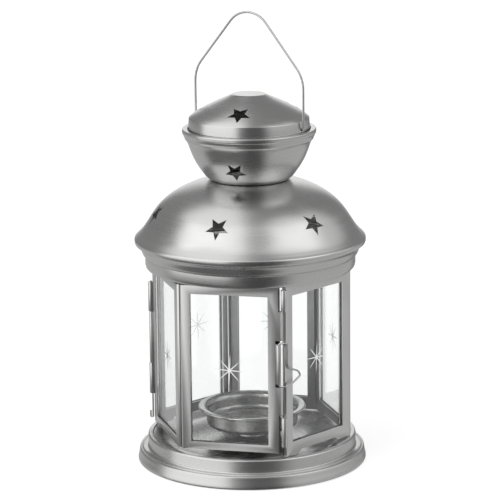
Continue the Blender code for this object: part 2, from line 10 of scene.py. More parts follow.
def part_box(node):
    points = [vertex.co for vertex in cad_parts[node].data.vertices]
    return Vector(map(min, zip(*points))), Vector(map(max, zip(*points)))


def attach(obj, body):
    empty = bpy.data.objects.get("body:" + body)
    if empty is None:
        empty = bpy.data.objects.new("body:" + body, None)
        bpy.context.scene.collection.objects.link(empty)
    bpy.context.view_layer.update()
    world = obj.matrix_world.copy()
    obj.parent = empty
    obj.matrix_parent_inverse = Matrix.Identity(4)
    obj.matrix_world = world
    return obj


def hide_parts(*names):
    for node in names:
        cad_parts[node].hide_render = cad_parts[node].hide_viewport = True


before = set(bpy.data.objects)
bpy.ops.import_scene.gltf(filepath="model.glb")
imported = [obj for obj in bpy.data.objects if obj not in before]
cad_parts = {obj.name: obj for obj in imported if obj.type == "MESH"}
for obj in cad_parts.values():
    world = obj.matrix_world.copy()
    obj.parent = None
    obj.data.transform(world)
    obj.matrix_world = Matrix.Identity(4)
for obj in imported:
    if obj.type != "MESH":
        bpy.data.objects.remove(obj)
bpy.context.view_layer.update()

# ---------------------------------------------------------------- Stage
# A white table and room with soft boxes at the left, right and overhead, and a dim space behind the camera
# that shows as the dark middle band on the polished metal.
MM = 0.001
scene = bpy.context.scene
scene.view_settings.view_transform = "Standard"
scene.view_settings.look = "None"


class Socket:
    """A shader socket that takes part in arithmetic."""

    def __init__(self, tree, out):
        self.tree = tree
        self.out = out

    def node(self, kind, inputs, output=0, **settings):
        """Any other node: inputs by name or number, of which some may be Sockets."""
        made = self.tree.nodes.new(kind)
        for key, value in settings.items():
            setattr(made, key, value)
        for key, value in inputs.items():
            if isinstance(value, Socket):
                self.tree.links.new(value.out, made.inputs[key])
            else:
                made.inputs[key].default_value = value
        return Socket(self.tree, made.outputs[output])

    def math(self, operation, *others):
        """One Math node on this socket and the others."""
        inputs = dict(enumerate((self, *others)))
        return self.node("ShaderNodeMath", inputs, operation=operation)

    def __add__(self, other):
        return self.math("ADD", other)

    def __sub__(self, other):
        return self.math("SUBTRACT", other)

    def __mul__(self, other):
        return self.math("MULTIPLY", other)

    def __truediv__(self, other):
        return self.math("DIVIDE", other)

    def __rsub__(self, other):
        return self * -1 + other

    __radd__ = __add__
    __rmul__ = __mul__

    def ramp(self, low, high, start=0.0, end=1.0):
        """A smooth step from start to end as the value goes from low to high."""
        inputs = {"Value": self, "From Min": low, "From Max": high, "To Min": start, "To Max": end}
        return self.node("ShaderNodeMapRange", inputs, interpolation_type="SMOOTHSTEP")

    def between(self, low, high, soft):
        """One inside the range and nought outside, with edges that fade over soft to either side."""
        return self.ramp(low - soft, low + soft) * self.ramp(high + soft, high - soft)


def xyz(tree, output):
    """Texture coordinates as a vector socket and its three parts."""
    source = tree.nodes.new("ShaderNodeTexCoord")
    vector = Socket(tree, source.outputs[output])
    parts = [vector.node("ShaderNodeSeparateXYZ", {0: vector}, output=i) for i in range(3)]
    return (vector, *parts)


world = bpy.data.worlds.new("studio")
scene.world = world
world.use_nodes = True
sky = world.node_tree
_, east, north, up = xyz(sky, "Generated")
degrees = 180 / math.pi
around = east.math("ARCTAN2", north * -1) * degrees
above = up.math("ARCSINE") * degrees

# Degrees: around is 0 at the front and grows to the right, above is 0 at the horizon.
level = above.ramp(-12, 6, 0.15, 0.25)
left_box = around.between(-98, -22, 5) * above.ramp(-23, -10) * above.ramp(52, 38)
level = level + left_box * 0.98
right_box = around.between(33, 125, 10) * above.ramp(-10, 4) * above.ramp(60, 45)
level = level + right_box * 0.45
low_sides = around.between(40, 150, 10) + around.between(-165, -104, 8)
level = level + low_sides * above.ramp(0, -14) * 0.38
strip = east.ramp(0.04, -0.18) * north.ramp(0.55, 0.28) * up.ramp(0.55, 0.72)
level = level + strip * 0.85
right_top = east * 0.62 + north * -0.28 + up * 0.73
level = level + right_top.ramp(0.86, 0.97) * 0.70
front_top = north.ramp(-0.25, -0.50) * up.ramp(0.60, 0.80)
level = level + front_top * 0.28
rim_light = around.math("ABSOLUTE").ramp(160, 173) * above.ramp(-30, -12) * above.ramp(34, 18)
level = level + rim_light * 0.85
dim_front = around.between(-8, 30, 8) * above.ramp(38, 20)
level = level * (1.0 - dim_front * 0.55)
to_eye = Socket(sky, sky.nodes.new("ShaderNodeLightPath").outputs["Is Camera Ray"])
shown = to_eye.node("ShaderNodeMix", {"Factor": to_eye, "A": level, "B": 1.0})
sky.links.new(shown.out, sky.nodes["Background"].inputs["Strength"])
sky.nodes["Background"].inputs["Color"].default_value = (1, 1, 1, 1)

floor_mesh = bpy.data.meshes.new("floor")
half_floor = 3.0
floor_corners = [(-half_floor, -half_floor, 0), (half_floor, -half_floor, 0), (half_floor, half_floor, 0),
                 (-half_floor, half_floor, 0)]
floor_mesh.from_pydata(floor_corners, [], [(0, 1, 2, 3)])
floor = bpy.data.objects.new("floor", floor_mesh)
floor.location.z = -0.0004
scene.collection.objects.link(floor)
floor_paint = bpy.data.materials.new("pale_floor")
floor_paint.use_nodes = True
floor_shader = floor_paint.node_tree.nodes["Principled BSDF"]
floor_shader.inputs["Roughness"].default_value = 0.9
floor_shader.inputs["Base Color"].default_value = (0.45, 0.45, 0.45, 1)
floor_shader.inputs["Emission Color"].default_value = (1, 1, 1, 1)
floor_shader.inputs["Emission Strength"].default_value = 0.74
floor_mesh.materials.append(floor_paint)
floor.visible_glossy = False

key_data = bpy.data.lights.new("soft_key", "AREA")
key_data.energy = 3.0
key_data.size = 0.7
key = bpy.data.objects.new("soft_key", key_data)
key.location = (-0.7, -0.7, 1.3)
key.visible_glossy = False
key.rotation_euler = (Vector((0, 0, 0.12)) - key.location).to_track_quat("-Z", "Y").to_euler()
scene.collection.objects.link(key)

camera_away = 1.510
camera_height = 0.474
look_down = 12.96
camera_roll = -0.55
camera_data = bpy.data.cameras.new("camera")
camera_data.sensor_width = 36
camera_data.lens = 188.9
camera_data.shift_x = -0.0005
camera_data.clip_end = 20
camera = bpy.data.objects.new("camera", camera_data)
scene.collection.objects.link(camera)
tilt = math.radians(90 - look_down)
camera.matrix_world = (Matrix.Translation((0, -camera_away, camera_height)) @ Matrix.Rotation(tilt, 4, "X")
                       @ Matrix.Rotation(math.radians(camera_roll), 4, "Z"))
scene.camera = camera

# ---------------------------------------------------------------- Base dish
# One dish spun from sheet: a flange on a turned-in foot ring, a ledge with a fine bead, an upright band,
# a rounded rim and a dished floor. Satin metal with the lathe's fine rings all round.
SHARP = 32


def baked(obj, sharp=SHARP, round_edges=0.0):
    """Applies the modifiers, optionally rounds the edges, and shades by angle."""
    if round_edges:
        bevel = obj.modifiers.new("Rounded edges", "BEVEL")
        bevel.width = round_edges * MM
        bevel.segments = 2
        bevel.limit_method = "ANGLE"
        bevel.angle_limit = math.radians(28)
        bevel.harden_normals = False
    graph = bpy.context.evaluated_depsgraph_get()
    mesh = bpy.data.meshes.new_from_object(obj.evaluated_get(graph))
    obj.modifiers.clear()
    old = obj.data
    obj.data = mesh
    mesh.name = obj.name
    bpy.data.meshes.remove(old)
    mesh.shade_smooth()
    mesh.set_sharp_from_angle(angle=math.radians(sharp))
    return obj


def link(name, data):
    """A new object in the scene."""
    obj = bpy.data.objects.new(name, data)
    scene.collection.objects.link(obj)
    return obj


def offset_profile(outer, wall):
    """The profile moved by the wall thickness to the material side, with mitred corners."""
    points = [Vector(p) for p in outer]
    sides = []
    for a, b in zip(points[:-1], points[1:]):
        along = (b - a).normalized()
        sides.append(Vector((along.y, -along.x)))
    moved = [points[0] + sides[0] * wall]
    for i in range(1, len(points) - 1):
        both = sides[i - 1] + sides[i]
        moved.append(points[i] + both * (2 * wall / both.length_squared))
    moved.append(points[-1] + sides[-1] * wall)
    return [tuple(p) for p in moved]


def sheet_loop(outer, wall):
    """The closed outline of a sheet: its outer profile, and back along the inner one."""
    return list(outer) + offset_profile(outer, wall)[::-1]


def arc(centre, radius, start, end, steps=5):
    """Points of a rounded corner; angles in degrees from the outward direction."""
    spots = []
    for i in range(steps + 1):
        angle = math.radians(start + (end - start) * i / steps)
        spots.append((centre[0] + radius * math.cos(angle), centre[1] + radius * math.sin(angle)))
    return spots


def flowing(points, steps=4):
    """A smooth curve through the points."""
    spots = [Vector(p) for p in points]
    spots = [2 * spots[0] - spots[1], *spots, 2 * spots[-1] - spots[-2]]
    out = []
    for a, b, c, d in zip(spots[:-3], spots[1:-2], spots[2:-1], spots[3:]):
        for i in range(steps):
            t = i / steps
            out.append(0.5 * (2 * b + (c - a) * t + (2 * a - 5 * b + 4 * c - d) * t * t
                              + (3 * b - a - 3 * c + d) * t ** 3))
    return [tuple(p) for p in out] + [tuple(spots[-2])]


def turned(name, loop, steps=180):
    """Turns a closed loop of (radius, height), or an open one that ends on the axis, round the Z axis."""
    profile = bpy.data.meshes.new(name)
    edges = [(i, i + 1) for i in range(len(loop) - 1)]
    if min(point[0] for point in loop) > 1e-6:
        edges.append((len(loop) - 1, 0))
    profile.from_pydata([(r * MM, 0, z * MM) for r, z in loop], edges, [])
    obj = link(name, profile)
    screw = obj.modifiers.new("Screw", "SCREW")
    screw.steps = steps
    screw.render_steps = steps
    screw.use_merge_vertices = True
    screw.merge_threshold = 1e-6
    baked(obj)
    bm = bmesh.new()
    bm.from_mesh(obj.data)
    bmesh.ops.remove_doubles(bm, verts=bm.verts, dist=2e-6)
    bmesh.ops.recalc_face_normals(bm, faces=bm.faces)
    bm.to_mesh(obj.data)
    bm.free()
    obj.data.shade_smooth()
    obj.data.set_sharp_from_angle(angle=math.radians(SHARP))
    return obj


def satin(name, colour, rough, rings=0.0, upright=0.0, mottle=0.03, grain=0.4, bow=0.0):
    """Satin metal: rings for turned parts, upright streaks for flat ones, a soft mottle and a fine grain.

    A flat one may look slightly bowed both ways, as folded sheet is; bow is the radius in metres."""
    made = bpy.data.materials.new(name)
    made.use_nodes = True
    tree = made.node_tree
    shader = tree.nodes["Principled BSDF"]
    shader.inputs["Metallic"].default_value = 1.0
    place, x, y, z = xyz(tree, "Object")
    radius = (x * x + y * y).math("SQRT")
    clouds = place.node("ShaderNodeTexNoise", {"Vector": place, "Scale": 45.0, "Detail": 3.0})
    specks = place.node("ShaderNodeTexNoise", {"Vector": place, "Scale": 900.0, "Detail": 2.0})
    if rings:
        along = (z + radius * 0.9) * 2200.0
        stretched = place.node("ShaderNodeCombineXYZ", {0: x * 22.0, 1: y * 22.0, 2: along})
        amount = rings
    else:
        stretched = place.node("ShaderNodeCombineXYZ", {0: x * 1500.0, 1: y * 1500.0, 2: z * 60.0})
        amount = upright
    streaks = place.node("ShaderNodeTexNoise", {"Vector": stretched, "Scale": 1.0, "Detail": 3.0})
    tone = 1.0 + (clouds - 0.5) * (mottle * 4) + (streaks - 0.5) * (0.25 * amount)
    channels = {i: tone * part for i, part in enumerate(colour)}
    shade = place.node("ShaderNodeCombineColor", channels)
    tree.links.new(shade.out, shader.inputs["Base Color"])
    roughness = rough + (clouds - 0.5) * 0.12 + (streaks - 0.5) * (0.25 * amount)
    tree.links.new(roughness.out, shader.inputs["Roughness"])
    height = streaks * amount + specks * grain
    fine = {"Height": height, "Strength": 0.16, "Distance": 0.0002}
    if bow:
        middle_height = 0.066
        rise = z - middle_height
        crown = (x * x * 0.55 + rise * rise * 0.8) * (-0.5 / bow)
        fine["Normal"] = crown.node("ShaderNodeBump", {"Height": crown, "Strength": 1.0, "Distance": 1.0})
    bump = height.node("ShaderNodeBump", fine)
    tree.links.new(bump.out, shader.inputs["Normal"])
    return made


spun_metal = satin("spun_satin_metal", (0.64, 0.64, 0.635), 0.28, rings=0.28, mottle=0.015)

low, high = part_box("base_dish")
hem = high.x / MM
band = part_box("collar")[1].x / MM - 5.5
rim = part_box("frame_back")[0].z / MM - 0.3
floor_z = rim - 3.0
ledge = rim - 7.4
hole = 2.3
boss = high.z / MM
dish = [(hole, boss), (6.9, boss), (7.5, boss - 0.5), (8.6, floor_z + 1.2), (9.6, floor_z + 0.2),
        (11.0, floor_z), (46.0, floor_z),
        *flowing([(48.0, floor_z + 0.15), (51.5, floor_z + 1.1), (54.6, rim - 1.0), (57.6, rim - 0.75)], 3),
        (58.8, rim - 0.62), (59.4, rim - 0.1), *arc((band - 1.1, rim - 1.1), 1.1, 90, 0, 5),
        *arc((band + 0.7, ledge + 0.1), 0.7, 180, 270, 4), (band + 2.2, ledge - 0.65),
        *arc((band + 2.9, ledge - 0.75), 0.4, 150, 20, 4), (band + 3.6, ledge - 0.85),
        (hem - 2.3, ledge - 0.95),
        *arc((hem - 2.0, ledge - 1.9), 0.95, 75, 12, 4), (hem - 0.85, ledge - 2.9), (hem - 0.45, 3.2),
        (hem - 0.05, 1.9), *arc((hem - 0.75, 0.75), 0.75, 0, -90, 5), (hem - 3.8, 0.0)]
dish_wall = 0.55
base = turned("spun_base", sheet_loop(dish, dish_wall))
base.data.materials.append(spun_metal)
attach(base, "lantern")
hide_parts("base_dish")

# ---------------------------------------------------------------- Tealight cup and rivet
# A turned cup with a rolled lip and a recess for the tealight, raised on the boss of the dish and held
# by a rivet. The same satin metal, a little greyer, with painted shade on its underside.
cup_metal = satin("cup_satin_metal", (0.54, 0.54, 0.535), 0.27, rings=0.22, mottle=0.015)
low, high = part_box("tealight_cup")
lip = high.x / MM
top = high.z / MM
under = low.z / MM
wall = lip - 4.9
recess = lip - 11.7
step_z = under + 2.2
cup_loop = [(hole, under + 0.9), (recess - 0.9, under + 0.9), (recess - 0.4, under + 1.2),
            (recess - 0.2, step_z + 0.2), *arc((recess + 0.5, step_z + 0.1), 0.6, 160, 30, 5),
            (recess + 1.5, step_z), (wall - 3.8, step_z),
            *arc((wall - 3.7, step_z + 3.0), 3.0, -85, 0, 6), (wall - 0.7, top - 3.4),
            *flowing([(wall - 0.6, top - 2.4), (wall + 0.3, top - 0.9), (wall + 1.6, top - 0.25),
                      (wall + 3.0, top)], 3), *arc((lip - 0.75, top - 0.75), 0.75, 90, -120, 10),
            (lip - 1.6, top - 0.9), (wall + 2.0, top - 1.0),
            *flowing([(wall + 1.3, top - 1.3), (wall + 0.3, top - 2.3), (wall, top - 3.4)], 3),
            *arc((wall - 3.2, under + 3.2), 3.2, 0, -88, 8), (hole, under)]
cup = turned("turned_cup", cup_loop, 120)
cup.data.materials.append(cup_metal)
# Painted shade: the faces under the cup get a dark metal that stands in for the shade beneath it.
painted_shade_metal = satin("painted_shade_satin_metal", (0.15, 0.15, 0.15), 0.5, rings=0.3)
cup.data.materials.append(painted_shade_metal)
for face in cup.data.polygons:
    face.material_index = int(face.normal.z < -0.25 and face.center.z < (under + 4) * MM)
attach(cup, "lantern")
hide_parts("tealight_cup")

low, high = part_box("cup_rivet")
head = high.x / MM
shank = 2.0
rivet_top = high.z / MM
rivet_low = low.z / MM
dome_rise = 1.2
rivet_head = [(1.2, rivet_top - 0.05), (2.8, rivet_top - 0.4), (head, rivet_top - dome_rise)]
rivet_loop = [(0, rivet_top), *flowing(rivet_head), (shank, rivet_top - dome_rise),
              (shank, rivet_low + dome_rise), (head, rivet_low + dome_rise),
              *flowing([(2.8, rivet_low + 0.4), (1.2, rivet_low + 0.05)]), (0, rivet_low)]
rivet = turned("rivet", rivet_loop, 40)
rivet_metal = satin("rivet_metal", (0.5, 0.5, 0.5), 0.35, rings=0.3)
rivet.data.materials.append(rivet_metal)
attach(rivet, "lantern")
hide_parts("cup_rivet")

# ---------------------------------------------------------------- Fixed frames and panes
# Four frames folded from sheet with softly chamfered corners, two feet and a glazed window each. The back
# left one carries the rolled hinge barrels, the right one the closing barrels and the clasp's keeper.
low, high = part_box("frame_back")
CORNER = 60.8
CORNERS = (-103.5, -43.8, 17.9, 76.9, 136.0, 193.8)
DEPTH = 4.2
FIXED_LOW = low.z / MM
FIXED_TOP = high.z / MM
WINDOW_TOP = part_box("collar")[0].z / MM - 6.3
STILE = 7.9
KEEPER_STILE = 7.5
FOOT_RISE = 1.9
FOOT_WIDTH = 15.0
HINGE = 61.3
FIT = 0.3
BARREL = 1.8
BORE = 0.85
HINGE_BARRELS = ((35.6, 54.5), (86.7, 104.4))
KNUCKLE_ROOM = 1.75
CLOSING_BARRELS = ((23.0, 40.3), (103.6, 116.2))
KEEPER_SPAN = (61.5, 82.5)
FRAME_SHARP = 25
FOLD_ROUND = 0.28
frame_metal = satin("folded_sheet_metal", (0.72, 0.72, 0.715), 0.34, upright=0.3, mottle=0.05, grain=0.8,
                    bow=0.85)
# Painted shade: a darker metal for the frame faces that look into the lantern, standing in for the shade
# inside it.
painted_shade_inside_metal = satin("inside_painted_shade_metal", (0.40, 0.40, 0.40), 0.42, upright=0.3, mottle=0.05, grain=0.7)
clear = bpy.data.materials.new("clear_glass")


class Side:
    """One side of the chamber, seen from outside; its own x runs right, y inward."""

    def __init__(self, first):
        left = CORNERS[first]
        right = CORNERS[(first + 1) % 6] + 360 * (first == 5)
        self.spread = math.radians(right - left) / 2
        self.turn = math.radians(left + right) / 2
        self.face = -CORNER * math.cos(self.spread)
        self.half = CORNER * math.sin(self.spread)

    def width_at(self, depth, gap=FIT):
        """Half the width at a depth, up to the mitre with the next side and less the gap."""
        return (-self.face - depth) * math.tan(self.spread) - gap

    def corner(self, end):
        """Where the barrels stand, at the left (-1) or right (1) end."""
        return end * HINGE * math.sin(self.spread), -HINGE * math.cos(self.spread)


AB, BC, CD, DE, EF, FA = (Side(i) for i in range(6))


def prism(bm, outline, start, end, upright=True):
    """A straight prism: the outline lies flat and rises, or stands upright and runs inward."""
    if upright:
        ring = [(x * MM, y * MM, start * MM) for x, y in outline]
        move = Vector((0, 0, (end - start) * MM))
    else:
        ring = [(x * MM, start * MM, z * MM) for x, z in outline]
        move = Vector((0, (end - start) * MM, 0))
    face = bm.faces.new([bm.verts.new(p) for p in ring])
    made = bmesh.ops.extrude_face_region(bm, geom=[face])
    bmesh.ops.translate(bm, vec=move, verts=[v for v in made["geom"] if isinstance(v, bmesh.types.BMVert)])


def block(bm, x_range, y_range, z_range):
    """A box from its three ranges."""
    centre = [(a + b) / 2 * MM for a, b in (x_range, y_range, z_range)]
    sizes = [(b - a) * MM for a, b in (x_range, y_range, z_range)]
    bmesh.ops.create_cube(bm, size=1.0, matrix=Matrix.Translation(centre) @ Matrix.Diagonal((*sizes, 1)))


def rod(bm, centre, radius, z_range, sides=32):
    """An upright round bar."""
    place = Matrix.Translation((centre[0] * MM, centre[1] * MM, sum(z_range) / 2 * MM))
    bmesh.ops.create_cone(bm, cap_ends=True, segments=sides, radius1=radius * MM, radius2=radius * MM,
                          depth=(z_range[1] - z_range[0]) * MM, matrix=place)


def shape(name, makers):
    """An object from one or more prisms, blocks or rods, each given as (function, arguments)."""
    bm = bmesh.new()
    for maker, values in makers:
        maker(bm, *values)
    bmesh.ops.recalc_face_normals(bm, faces=bm.faces)
    mesh = bpy.data.meshes.new(name)
    bm.to_mesh(mesh)
    bm.free()
    return link(name, mesh)


def carve(obj, makers, operation="DIFFERENCE"):
    """Cuts a shape from a piece, or joins it on with UNION, in the piece's own directions."""
    tool = shape(obj.name + "_tool", makers)
    tool.rotation_euler = obj.rotation_euler
    step = obj.modifiers.new("Boolean", "BOOLEAN")
    step.operation = operation
    step.solver = "EXACT"
    step.object = tool
    bpy.context.view_layer.update()
    baked(obj)
    bpy.data.objects.remove(tool, do_unlink=True)


def folded_frame(name, side, levels, stiles, fold=1.7, turn_in=0.95):
    """A mitred frame with chamfered folds, its window, and the slot for the pane."""
    z_low, z_window, z_head, z_top = levels
    face = side.face
    back = face + DEPTH
    inner_gap = 1.1
    near = side.width_at(0) - fold
    next_to = side.width_at(turn_in)
    far = side.width_at(DEPTH, inner_gap)
    outline = [(-near, face), (near, face), (next_to, face + turn_in), (far, back), (-far, back),
               (-next_to, face + turn_in)]
    obj = shape(name, [(prism, (outline, z_low, z_top))])
    obj.rotation_euler.z = side.turn
    left = stiles[0] - side.half
    right = side.half - stiles[1]
    carve(obj, [(block, ((left, right), (face - 2, back + 2), (z_window, z_head)))])
    room = 1.9
    sheet = 0.8
    slot = ((left - room, right + room), (face + sheet, back - sheet), (z_window - room, z_top + 3))
    carve(obj, [(block, slot)])
    return obj


def add_barrels(obj, spot, spans):
    """Rolls a barrel on the edge for each span, and bores it for the wire."""
    carve(obj, [(rod, (spot, BARREL, span)) for span in spans], "UNION")
    carve(obj, [(rod, (spot, BORE, (span[0] - 1, span[1] + 1))) for span in spans])


def finish_frame(obj, body, node, material):
    """Rounds the edges, gives the faces that look inward a darker metal as painted shade, and hands the frame
    to its CAD node.
    """
    baked(obj, FRAME_SHARP, FOLD_ROUND)
    obj.data.materials.clear()
    obj.data.materials.append(material)
    obj.data.materials.append(painted_shade_inside_metal)
    for face in obj.data.polygons:
        face.material_index = int(face.normal.y > 0.5)
    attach(obj, body)
    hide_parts(node)


def star_rays(half_tall, half_wide, half_slant):
    """Outline of an eight-rayed star; a ray keeps its width for 0.7 of its length, then narrows to a point."""
    ray = 0.24
    valley = 0.95
    outline = []
    for i in range(8):
        along = math.radians(90 - 45 * i)
        notch = along - math.radians(22.5)
        size = (half_tall, half_slant, half_wide, half_slant)[i % 4]
        ahead = Vector((math.cos(along), math.sin(along)))
        across = Vector((-ahead.y, ahead.x))
        outline += [ahead * size * 0.7 + across * ray, ahead * size, ahead * size * 0.7 - across * ray]
        outline.append(Vector((math.cos(notch), math.sin(notch))) * valley)
    return [tuple(p) for p in outline]


def glass_pane(name, side, levels, stiles, body, node, etch, shift=(0.0, 0.0)):
    """Clear glass with a fine star etched near the middle of its outer face, a little off on some panes."""
    z_window, z_head = levels[1], levels[2]
    hold = 1.6
    thick = 2.0
    etch_depth = 0.06
    left = stiles[0] - side.half - hold
    right = side.half - stiles[1] + hold
    front = side.face + 1.1
    obj = shape(name, [(block, ((left, right), (front, front + thick), (z_window - hold, z_head + hold)))])
    obj.rotation_euler.z = side.turn
    obj.data.materials.append(clear)
    lean = math.radians(-3)
    middle = ((left + right) / 2 + shift[0], (z_window + z_head) / 2 - 0.6 + shift[1])
    star = []
    for x, z in star_rays(9.9, 9.0, 8.6):
        star.append((middle[0] + x * math.cos(lean) - z * math.sin(lean),
                     middle[1] + x * math.sin(lean) + z * math.cos(lean)))
    tool = shape(name + "_tool", [(prism, (star, front - 1, front + etch_depth, False))])
    tool.rotation_euler.z = side.turn
    tool.data.materials.append(etch)
    step = obj.modifiers.new("Etched star", "BOOLEAN")
    step.operation = "DIFFERENCE"
    step.solver = "EXACT"
    step.material_mode = "TRANSFER"
    step.object = tool
    bpy.context.view_layer.update()
    baked(obj, 20)
    bpy.data.objects.remove(tool, do_unlink=True)
    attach(obj, body)
    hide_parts(node)


clear.use_nodes = True
shader = clear.node_tree.nodes["Principled BSDF"]
shader.inputs["Base Color"].default_value = (0.955, 0.965, 0.96, 1)
shader.inputs["Transmission Weight"].default_value = 1.0
shader.inputs["IOR"].default_value = 1.45
place = xyz(clear.node_tree, "Object")[0]
haze = place.node("ShaderNodeTexNoise", {"Vector": place, "Scale": 60.0, "Detail": 4.0})
clear.node_tree.links.new((haze * 0.02).out, shader.inputs["Roughness"])


def etched(name, white, cover):
    """The matt bottom of an etched star; one etched less deeply covers less."""
    made = bpy.data.materials.new(name)
    made.use_nodes = True
    shader = made.node_tree.nodes["Principled BSDF"]
    shader.inputs["Alpha"].default_value = cover
    place = xyz(made.node_tree, "Object")[0]
    frost = place.node("ShaderNodeTexNoise", {"Vector": place, "Scale": 3000.0, "Detail": 2.0})
    tone = frost * 0.12 + (white - 0.06)
    paint = place.node("ShaderNodeCombineColor", {0: tone, 1: tone, 2: tone})
    made.node_tree.links.new(paint.out, shader.inputs["Base Color"])
    made.node_tree.links.new((0.45 + frost * 0.3).out, shader.inputs["Roughness"])
    return made


white_star = etched("deep_etched_star", 0.86, 1.0)
grey_star = etched("grey_etched_star", 0.36, 0.8)
faint_star = etched("light_etched_star", 0.75, 0.4)

fixed_levels = (FIXED_LOW, FIXED_LOW + FOOT_RISE + 5.9, WINDOW_TOP, FIXED_TOP)
stars = {"right": (white_star, (0.0, 3.0)), "back_right": (grey_star, (0.0, 2.7)),
         "back": (faint_star, (0.0, 3.0)), "back_left": (faint_star, (-4.4, 4.2))}
for place_name, side in (("right", CD), ("back_right", DE), ("back", EF), ("back_left", FA)):
    stiles = (KEEPER_STILE if side is CD else STILE, STILE)
    one = folded_frame("folded_frame_" + place_name, side, fixed_levels, stiles)
    foot = side.half - FOOT_WIDTH
    gap = [(-foot - 2.6, FIXED_LOW - 1), (-foot - 2.4, FIXED_LOW), (-foot, FIXED_LOW + FOOT_RISE),
           (foot, FIXED_LOW + FOOT_RISE), (foot + 2.4, FIXED_LOW), (foot + 2.6, FIXED_LOW - 1)]
    carve(one, [(prism, (gap, side.face - 3, side.face + DEPTH + 3, False))])
    if place_name == "back_left":
        carve(one, [(rod, (side.corner(1), KNUCKLE_ROOM, (HINGE_BARRELS[0][1], HINGE_BARRELS[1][0])))])
        add_barrels(one, side.corner(1), HINGE_BARRELS)
    if place_name == "right":
        add_barrels(one, side.corner(-1), CLOSING_BARRELS)
        keeper = ((-side.half + 0.5, -side.half + 3.0), (side.face - 0.35, side.face + 0.6), KEEPER_SPAN)
        carve(one, [(block, keeper)], "UNION")
    finish_frame(one, "lantern", "frame_" + place_name, frame_metal)
    glass_pane("glass_" + place_name, side, fixed_levels, stiles, "lantern", "pane_" + place_name,
               *stars[place_name])

# ---------------------------------------------------------------- Hinge pin
# Drawn wire down the hinge barrels, its lower end bent out and up so that it can't lift.
wire_metal = satin("drawn_wire_metal", (0.62, 0.62, 0.615), 0.25, upright=0.6, mottle=0.02, grain=0.3)


def rounded_path(points, radius, steps=6, closed=False):
    """The same path with each corner replaced by a short curve."""
    spots = [Vector(p) for p in points]
    count = len(spots)
    out = []
    for i, spot in enumerate(spots):
        if not closed and i in (0, count - 1):
            out.append(spot)
            continue
        before = spots[i - 1] - spot
        after = spots[(i + 1) % count] - spot
        cut = min(radius, before.length * 0.48, after.length * 0.48)
        start = spot + before.normalized() * cut
        end = spot + after.normalized() * cut
        for k in range(steps + 1):
            t = k / steps
            out.append(start * (1 - t) ** 2 + spot * 2 * t * (1 - t) + end * t * t)
    return out


def bent_wire(name, points, radius, closed=False):
    """Round wire along a path."""
    curve = bpy.data.curves.new(name, "CURVE")
    curve.dimensions = "3D"
    curve.bevel_depth = radius * MM
    curve.bevel_resolution = 5
    curve.use_fill_caps = not closed
    spline = curve.splines.new("POLY")
    spline.points.add(len(points) - 1)
    spline.use_cyclic_u = closed
    spline.use_smooth = True
    for spot, point in zip(spline.points, points):
        spot.co = (*(Vector(point) * MM), 1)
    obj = link(name, curve)
    graph = bpy.context.evaluated_depsgraph_get()
    mesh = bpy.data.meshes.new_from_object(obj.evaluated_get(graph))
    bpy.data.objects.remove(obj, do_unlink=True)
    made = link(name, mesh)
    mesh.shade_smooth()
    mesh.set_sharp_from_angle(angle=math.radians(50))
    mesh.materials.append(wire_metal)
    return made


low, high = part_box("hinge_pin")
axis_angle = math.radians(CORNERS[0])
axis = Vector((HINGE * math.sin(axis_angle), -HINGE * math.cos(axis_angle), 0))
out = axis.normalized()
pin_radius = 0.55
pin_low = low.z / MM + pin_radius
tail = axis + out * 1.5
tail_rise = 4.0
route = [axis + Vector((0, 0, high.z / MM)), axis + Vector((0, 0, pin_low)), tail + Vector((0, 0, pin_low)),
         tail + Vector((0, 0, pin_low + tail_rise))]
pin = bent_wire("bent_hinge_pin", rounded_path(route, 0.7), pin_radius)
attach(pin, "lantern")
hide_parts("hinge_pin")

# ---------------------------------------------------------------- Door
# Two glazed frames joined along their corner. The left one has the hinge knuckle, the right one three notches
# in its free stile, two for the closing barrels and one for the clasp, and the curl that holds the clasp.
low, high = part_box("door_frame_right")
DOOR_LOW = low.z / MM
DOOR_TOP = high.z / MM
door_levels = (DOOR_LOW, DOOR_LOW + 4.4, WINDOW_TOP - 0.1, DOOR_TOP)
door_left = folded_frame("folded_door_left", AB, door_levels, (STILE, STILE))
spot = AB.corner(-1)
knuckle = (54.9, 86.3)
knuckle_radius = 1.45
barrel_room = 2.1
clear_spans = [(DOOR_LOW - 2, knuckle[0]), (knuckle[1], DOOR_TOP + 2)]
carve(door_left, [(rod, (spot, barrel_room, span)) for span in clear_spans])
carve(door_left, [(rod, (spot, knuckle_radius, knuckle))], "UNION")
carve(door_left, [(rod, (spot, BORE, (knuckle[0] - 2, knuckle[1] + 2)))])
finish_frame(door_left, "door", "door_frame_left", frame_metal)

right_stiles = (6.9, 9.4)
door_right = folded_frame("folded_door_right", BC, door_levels, right_stiles)
notch_x = (BC.half - 3.1, BC.half + 6)
notch_y = (BC.face - 4, BC.face + 3.3)
for row in ((DOOR_LOW - 2, 41.4), (103.0, DOOR_TOP + 2)):
    carve(door_right, [(block, (notch_x, notch_y, row))])
clasp_notch = ((BC.half - 5.1, BC.half + 6), notch_y, (58.1, 85.9))
carve(door_right, [(block, clasp_notch)])
curl = (BC.half - 2.8, BC.face - 0.65)
curl_span = (60.2, 83.8)
curl_radius = 1.3
curl_bore = 0.8
tongue = ((BC.half - 5.9, curl[0]), (BC.face + 0.5, BC.face + 1.3), curl_span)
carve(door_right, [(block, tongue)], "UNION")
carve(door_right, [(rod, (curl, curl_radius, curl_span))], "UNION")
carve(door_right, [(rod, (curl, curl_bore, (curl_span[0] - 1, curl_span[1] + 1)))])
finish_frame(door_right, "door", "door_frame_right", frame_metal)
